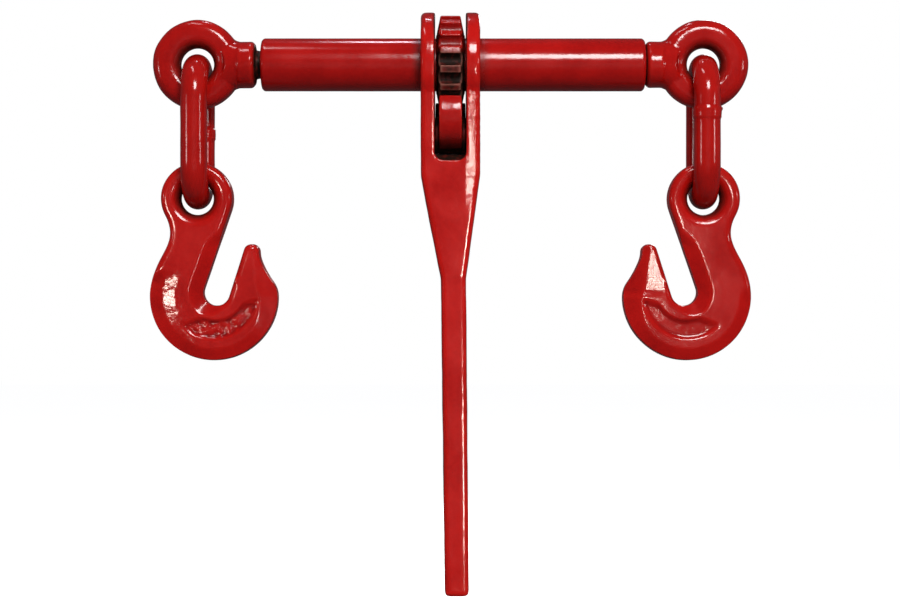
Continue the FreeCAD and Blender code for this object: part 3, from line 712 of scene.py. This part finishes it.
def wire_ring(centre, outward, side, swell):
    """One ring of points round the bar."""
    radius = WIRE_R + swell
    row = []
    for step in range(LINK_RING + 1):
        angle = 2 * math.pi * step / LINK_RING
        sideways = Vector((side, 0, 0)) * math.cos(angle) * radius
        row.append(tuple(centre + sideways + outward * math.sin(angle) * radius))
    return row


def add_weld_spur(mesh, side, weld, reach=1.1 * MM, half_width=1.6 * MM):
    """The small spur that trimming left beside the weld, on the link's outer side."""
    points = points_of(mesh)
    spur = np.array((side * (EYE_X + WIRE_R), weld.y, weld.z + 3 * MM))
    from_spur = np.sqrt(np.sum((points - spur) ** 2, axis=1))
    points[:, 0] += side * reach * np.exp(-((from_spur / half_width) ** 2))
    put_points(mesh, points)


def oval_point(along, straight, bend_r, top, bottom):
    """A point of the link's centre line and its outward direction, from the front leg's top."""
    half_turn = math.pi * bend_r
    if along < straight:
        return Vector((0, -bend_r, top - along)), Vector((0, -1, 0))
    along -= straight
    if along < half_turn:
        outward = Vector((0, -math.cos(along / bend_r), -math.sin(along / bend_r)))
        return Vector((0, 0, bottom)) + outward * bend_r, outward
    along -= half_turn
    if along < straight:
        return Vector((0, bend_r, bottom + along)), Vector((0, 1, 0))
    along -= straight
    outward = Vector((0, math.cos(along / bend_r), math.sin(along / bend_r)))
    return Vector((0, 0, top)) + outward * bend_r, outward


# Hooks


def slot_distance(u, v):
    """How far a point of the hook's face lies from the slot's edge, and the bevel's width there."""
    du, dv = u - SLOT[0], v - SLOT[1]
    normal_u, normal_v = math.cos(SHANK_NORMAL), math.sin(SHANK_NORMAL)
    toward_slot = du * normal_u + dv * normal_v
    up = -du * normal_v + dv * normal_u
    from_line = -toward_slot - SLOT_R
    from_centre = np.hypot(du, dv) - SLOT_R
    beside = (up > 0) & (toward_slot < 0)
    distance = np.where(beside, from_line, from_centre)
    shank_width = 9.2 * MM - 4.6 * MM * smooth_step(18 * MM, 58 * MM, up)
    turn = np.degrees(np.arctan2(up, -toward_slot))
    bend_width = 9.2 * MM - 6.5 * MM * smooth_step(60, 150, -turn)
    width = np.where(beside, shank_width, bend_width)
    tip_side = (up > 0) & (toward_slot > 0)
    return distance, np.where(tip_side, 0.0, width)


def rim_fall(u, v, side):
    """How far the hook's faces fall towards the outer edge, in a band along it.

    On the left the back falls in two gentle slopes, and on the right the tip's face leans.
    """
    du, dv = u - HOOK_BODY[0], v - HOOK_BODY[1]
    turn = np.degrees(np.arctan2(dv, du))
    from_circle = HOOK_BODY_R - np.hypot(du, dv)
    round_width = 12.5 * MM - 4.5 * MM * smooth_step(0, 50, np.abs(turn))
    at_back = smooth_step(0.25, 0.55, -du / HOOK_BODY_R) * smooth_step(-46 * MM, -56 * MM, v)
    at_back *= side < 0
    below = np.where(u > 20 * MM, 1.0, smooth_step(-56 * MM, -70 * MM, v))
    round_fall = 0.30 * below * np.clip(round_width - from_circle, 0, None)
    back_fall = 0.12 * np.clip(17 * MM - from_circle, 0, None)
    back_fall += 0.2 * np.clip(8.5 * MM - from_circle, 0, None)
    from_tip = np.interp(v, TIP_HEIGHTS, TIP_EDGES) - u
    tip_width = 12.5 * MM - 7.5 * MM * smooth_step(-62 * MM, -38 * MM, v)
    tip_fall = 0.30 * np.clip(tip_width - from_tip, 0, None)
    on_tip = (v > -67.8 * MM) & (u > 20 * MM)
    tip_lean = 0.055 * np.clip(u - 20 * MM, 0, None) * smooth_step(-66 * MM, -60 * MM, v)
    tip_lean *= side > 0
    return np.where(on_tip, tip_lean + tip_fall, (1 - at_back) * round_fall + at_back * back_fall)


def recess_depth(u, v):
    """The forged crescent below the slot: blunt towards the tip and thin towards the back."""
    from_slot = np.hypot(u - SLOT[0], v - SLOT[1])
    inside = RECESS_R - np.hypot(u - RECESS[0], v - RECESS[1])
    below = -66 * MM - 0.33 * (40 * MM - u) - v
    ends = smooth_step(-1 * MM, 4 * MM, below) * smooth_step(-14 * MM, 0, u)
    wall = smooth_step(17.3 * MM, 20.3 * MM, from_slot)
    return RECESS_DEPTH * ends * wall * smooth_step(-0.5 * MM, 3.2 * MM, inside)


def hook_faces(points, side):
    """Shapes the hook's faces: down to the slot and the outer rim by crisp ridges, with a recess."""
    u = EYE_X - side * points[:, 0]
    v = points[:, 2] - HOOK_EYE_Z
    slot_far, slot_width = slot_distance(u, v)
    from_slot = np.hypot(u - SLOT[0], v - SLOT[1])
    from_rim = HOOK_BODY_R - np.hypot(u - HOOK_BODY[0], v - HOOK_BODY[1])
    free_of_eye = smooth_step(24 * MM, 33 * MM, np.hypot(u, v))
    y = np.abs(points[:, 1])
    plain = (from_slot > 14 * MM) & (from_rim > 5 * MM) & (v < -52 * MM) & (y > HOOK_HALF - 2 * MM)
    y = np.where(plain, HOOK_HALF, y)
    limit = HOOK_HALF - 0.5 * free_of_eye * np.clip(slot_width - np.clip(slot_far, 0, None), 0, None)
    limit = np.minimum(limit, HOOK_HALF - rim_fall(u, v, side))
    y = np.minimum(y, np.maximum(limit, 2 * MM))
    y = np.where(plain, y - recess_depth(u, v), y)
    points[:, 1] = np.sign(points[:, 1]) * y
    return points, u, v


def hook(name, side):
    """A grab hook, roughly forged on the left and smoother on the right."""
    voxel = 0.65 * MM
    mesh = remeshed("grab_hook" + name, ["hook" + name], voxel, 3)
    points, u, v = hook_faces(points_of(mesh), side)
    put_points(mesh, points)
    soften(mesh, 3)
    on_face = smooth_step(0.75, 0.95, np.abs(normals_of(mesh)[:, 1]))
    in_recess = smooth_step(0.4 * MM, 1.4 * MM, recess_depth(u, v)) * on_face
    from_eye = np.hypot(u, v)
    free = smooth_step(11.5 * MM, 15 * MM, from_eye)
    back_low = smooth_step(4 * MM, -12 * MM, u) * smooth_step(-42 * MM, -50 * MM, v)
    back_low *= smooth_step(3 * MM, 9 * MM, HOOK_BODY_R - np.hypot(u - HOOK_BODY[0], v - HOOK_BODY[1]))
    tip_face = smooth_step(24 * MM, 28 * MM, u) * smooth_step(-64 * MM, -58 * MM, v) * on_face
    rough = 1.0 if side < 0 else 0.1
    roughen(
        mesh,
        (18 * MM, 0.12 * MM, 17 + side, free * (1 - tip_face)),
        (5 * MM, 0.03 * MM, 19, free * (1 - 0.5 * tip_face)),
        (3.2 * MM, 0.07 * MM, 27, rough * back_low * on_face),
        (4.2 * MM, 0.70 * MM, 23, rough * in_recess),
    )
    add_parting_ridge(mesh, 0.25 * MM)
    inside_hole = 1 - smooth_step(11 * MM, 16 * MM, from_eye)
    mark_edges(mesh, voxel)
    hammer = 0.02 + rough * (0.05 * back_low + 0.2 * in_recess) + (1 - rough) * 0.06 * tip_face
    # Painted shade inside the eye's hole
    mark(mesh, grime=0.75 * inside_hole, hammer=np.clip(hammer, 0, 1) * free)
    obj = make_object("grab_hook" + name, mesh)
    return dressed(obj, "hook" + name, "red_enamel", ["hook" + name], RED)


# Handle


def handle():
    """The forged handle, hammered on its right cheek and smooth down the grip."""
    voxel = 0.8 * MM
    mesh = remeshed("handle_forging", ["handle"], voxel, 3)
    points = points_of(mesh)
    x, y, z = points.T
    outer = smooth_step(SLOT_HALF_X, SLOT_HALF_X + 2 * MM, np.abs(x))
    outer = np.maximum(outer, smooth_step(SLOT_BOTTOM_Z - 1 * MM, SLOT_BOTTOM_Z - 4 * MM, z))
    bearing = smooth_step(BARREL_R + 0.5 * MM, BARREL_R + 2.5 * MM, np.hypot(y, z))
    free = outer * bearing
    cheek = smooth_step(8.5 * MM, 10.5 * MM, x) * smooth_step(-14 * MM, -19 * MM, z)
    cheek *= smooth_step(-108 * MM, -78 * MM, z) * smooth_step(4 * MM, 12 * MM, -y)
    torn = cheek * (0.35 + 0.65 * smooth_step(12 * MM, 16 * MM, x + 0.12 * (z + 50 * MM)))
    points[:, 1] += 0.12 * np.clip(x - 10 * MM, 0, None) * cheek
    put_points(mesh, points)
    roughen(
        mesh,
        (26 * MM, 0.20 * MM, 29, free),
        (6 * MM, 0.08 * MM, 31, free),
        (2.8 * MM, 0.17 * MM, 37, free * torn),
    )
    add_parting_ridge(mesh, 0.18 * MM)
    front_or_back = smooth_step(0.7, 0.95, np.abs(normals_of(mesh)[:, 1]))
    mark_edges(mesh, voxel)
    # Painted shade inside the yoke's slot, on faces that look neither front nor back
    grime = 0.95 * (1 - outer) * (1 - front_or_back)
    mark(mesh, grime=grime, hammer=np.clip(0.03 + 0.25 * torn, 0, 1) * free)
    obj = make_object("handle_forging", mesh)
    return dressed(obj, "handle", "red_enamel", ["handle"], RED)


def pawl():
    """The double ended pawl, darkened behind and below its pin as grease with painted shade."""
    voxel = 0.5 * MM
    mesh = remeshed("pawl_forging", ["pawl"], voxel, 6)
    points = points_of(mesh)
    from_pin = np.hypot(points[:, 1], points[:, 2] - PAWL_PIN_Z)
    free = smooth_step(PAWL_PIN_R + 0.5 * MM, PAWL_PIN_R + 2 * MM, from_pin)
    roughen(mesh, (9 * MM, 0.12 * MM, 41, free), (3 * MM, 0.04 * MM, 43, free))
    mark_edges(mesh, voxel)
    # Painted shade on the lower part and the back, with grease
    low = 1 - smooth_step(-60 * MM, -44 * MM, points[:, 2])
    behind = smooth_step(-16 * MM, -10 * MM, points[:, 1])
    mark(mesh, grime=np.maximum(0.85 * low, behind), hammer=0.05 * free)
    obj = make_object("pawl_forging", mesh)
    return dressed(obj, "pawl", "red_enamel", ["pawl"], RED)


def pawl_pin():
    """A plain pin whose painted ends stand in the cheeks."""
    low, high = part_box("pawl_pin")
    corners = [(low[0], 0.5 * MM), (low[0], PAWL_PIN_R), (high[0], PAWL_PIN_R), (high[0], 0.5 * MM)]
    grid = spun_profile(spread(rounded(corners, 0.9 * MM), 1.5 * MM))
    mesh = grid_mesh("pivot_pin", [grid], (grid[0][:-1], grid[-1][:-1]))
    mesh.transform(Matrix.Translation((0, 0, PAWL_PIN_Z)))
    for polygon in mesh.polygons:
        polygon.material_index = int(abs(polygon.center.x) > SLOT_HALF_X)
    obj = make_object("pivot_pin", mesh, 40)
    return dressed(obj, "handle", "bare_steel", ["pawl_pin"], OILED_STEEL, RED)


def plunger():
    """A round plunger with a blunt cone for a nose, spun round X and then stood up."""
    low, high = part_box("detent_plunger")
    radius = high[0]
    corners = [
        (low[2], 0.3 * MM),
        (low[2], radius),
        (high[2] - 4 * MM, radius),
        (high[2], 0.8 * MM),
        (high[2], 0.3 * MM),
    ]
    grid = spun_profile(rounded(corners, 0.4 * MM))
    mesh = grid_mesh("plunger", [grid], (grid[0][:-1], grid[-1][:-1]))
    mesh.transform(Matrix.Rotation(-math.pi / 2, 4, "Y"))
    obj = make_object("plunger", mesh, 40)
    return dressed(obj, "detent_plunger", "bare_steel", ["detent_plunger"], OILED_STEEL)


def spring():
    """Round wire wound up the bore."""
    low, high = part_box("detent_spring")
    wire_r, turns, around = 0.6 * MM, 7, 14
    coil_r = high[0] - wire_r
    steps = turns * 28
    rise = high[2] - low[2] - 2 * wire_r
    upward = Vector((0, 0, 1))
    angles = [2 * math.pi * part / around for part in range(around + 1)]
    rows = []
    for step in range(steps + 1):
        turn = 2 * math.pi * turns * step / steps
        outward = Vector((math.cos(turn), math.sin(turn), 0))
        centre = outward * coil_r + Vector((0, 0, low[2] + wire_r + rise * step / steps))
        row = [centre + (outward * math.cos(a) + upward * math.sin(a)) * wire_r for a in angles]
        rows.append([tuple(point) for point in row])
    grid = np.array(rows)
    obj = make_object("coil_spring", grid_mesh("coil_spring", [grid], (grid[0][:-1], grid[-1][:-1])))
    dressed(obj, "handle", "spring_steel", ["detent_spring"], SPRING_STEEL)
    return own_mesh(obj)


# Studio


def aimed(obj, place, target):
    """Puts an object in a place, facing a target."""
    obj.location = place
    direction = Vector(target) - Vector(place)
    obj.rotation_euler = direction.to_track_quat("-Z", "Y").to_euler()
    bpy.context.scene.collection.objects.link(obj)
    return obj


def softbox(name, place, target, width, height, watts, tint=(1, 1, 1)):
    """A rectangular lamp."""
    lamp = bpy.data.lights.new(name, "AREA")
    lamp.shape = "RECTANGLE"
    lamp.size = width
    lamp.size_y = height
    lamp.energy = watts
    lamp.color = tint
    return aimed(bpy.data.objects.new(name, lamp), place, target)


def only_lights(lamp, *names):
    """Keeps a lamp's light to these pieces, as a flag beside it would."""
    receivers = bpy.data.collections.new(lamp.name + "_receivers")
    for name in names:
        receivers.objects.link(bpy.data.objects[name])
    lamp.light_linking.receiver_collection = receivers


def studio():
    """A key above, boxes that light only some forgings, and fills that nothing mirrors."""
    middle = (0, 0, -0.12)
    plain, warm = (1, 1, 1), (1, 0.87, 0.76)
    softbox("key_above_right", (0.24, -1.15, 0.68), middle, 0.50, 0.42, 14.5)
    softbox("side_right", (1.60, -0.90, 0.12), middle, 0.20, 0.12, 1.4)
    softbox("side_left", (-1.60, -0.90, 0.06), middle, 0.20, 0.12, 1.4)
    softbox("top_left", (-0.35, -0.25, 1.10), middle, 0.45, 0.10, 1.6, (1, 0.88, 0.92))
    softbox("top_back", (-0.08, 0.40, 1.05), middle, 0.10, 0.10, 1.0, (0.88, 0.85, 1))
    pairs = [name + side for name in ("forged_eye", "chain_link", "grab_hook") for side, _ in SIDES]
    for name, place, width, height, watts, tint, pieces in (
        ("hook_left_box", (-0.64, -1.18, -0.155), 0.17, 0.11, 3.0, warm, ["grab_hook_left"]),
        ("hook_right_box", (0.12, -1.35, -0.115), 0.09, 0.09, 2.2, warm, ["grab_hook_right"]),
        ("hook_ridge_box", (0.34, -1.2, -0.30), 0.06, 0.16, 0.9, plain, ["grab_hook_left"]),
        ("handle_box", (0.34, -1.2, -0.37), 0.18, 0.16, 5.6, warm, ["handle_forging"]),
        ("back_box", (0.5, 1.3, 0.45), 0.35, 0.25, 2.5, plain, ["handle_forging", *pairs]),
    ):
        only_lights(softbox(name, place, middle, width, height, watts, tint), *pieces)
    for name, place, watts in (
        ("fill_front", (0.15, -1.6, -0.20), 5.2),
        ("fill_back", (-0.3, 1.6, 0.3), 18.0),
        ("fill_right", (1.7, 0.3, 0.1), 4.0),
        ("fill_left", (-1.7, 0.3, 0.1), 4.0),
    ):
        softbox(name, place, middle, 1.0, 0.7, watts).visible_glossy = False


def world():
    """White to the camera, and a dim cool room to everything else."""
    made = bpy.data.worlds.new("studio")
    bpy.context.scene.world = made
    made.use_nodes = True
    tree = made.node_tree
    tree.nodes.clear()
    path = add(tree, "LightPath").outputs["Is Camera Ray"]
    room = add(tree, "Background", {"Color": (0.90, 0.92, 1.0, 1), "Strength": 0.08})
    white = add(tree, "Background", {"Color": (1, 1, 1, 1), "Strength": 1.0})
    choice = add(tree, "MixShader", {0: path, 1: room.outputs[0], 2: white.outputs[0]})
    output = add(tree, "OutputWorld")
    tree.links.new(choice.outputs[0], output.inputs[0])


def floor():
    """A pale floor well below the hanging binder. It takes soft shadows and gives no reflections."""
    half, drop = 6.0, 0.12
    level = cad_box[0][2] - drop
    grid = np.array([[(x, y, level) for x in (-half, half)] for y in (-half, half)])
    mesh = grid_mesh("floor", [grid])
    material, tree, place = new_material("pale_floor")
    tone = mix(tree, mottle(tree, place, 3.0), (0.90, 0.90, 0.90, 1), (0.93, 0.93, 0.93, 1))
    finish_material(tree, Base_Color=tone, Roughness=0.9, Emission_Color=(1, 1, 1, 1), Emission_Strength=0.92)
    mesh.materials.append(material)
    obj = make_object("floor", mesh)
    obj.visible_glossy = False
    obj.visible_diffuse = False


def camera():
    """Square to the front, as in the photograph."""
    made = bpy.data.cameras.new("camera")
    made.sensor_width = 36.0
    made.lens = 78.2
    obj = bpy.data.objects.new("camera", made)
    bpy.context.scene.collection.objects.link(obj)
    obj.location = (-0.0003, -1.3, -0.1563)
    obj.rotation_euler = (math.radians(90), 0, 0)
    bpy.context.scene.camera = obj


# The whole scene

camera()
world()
floor()
barrel()
gear()
handle()
pawl()
pawl_pin()
plunger()
spring()
for side_name, side_sign in SIDES:
    weld_bead(side_name, side_sign)
    forged_eye(side_name, side_sign)
    screw_thread(side_name, side_sign)
    stop_washer(side_name)
    link(side_name, side_sign)
    hook(side_name, side_sign)
    frame["nodes"]["stop_pin" + side_name].data.materials.clear()
    frame["nodes"]["stop_pin" + side_name].data.materials.append(OILED_STEEL)

studio()
bpy.context.scene.view_settings.view_transform = "Standard"
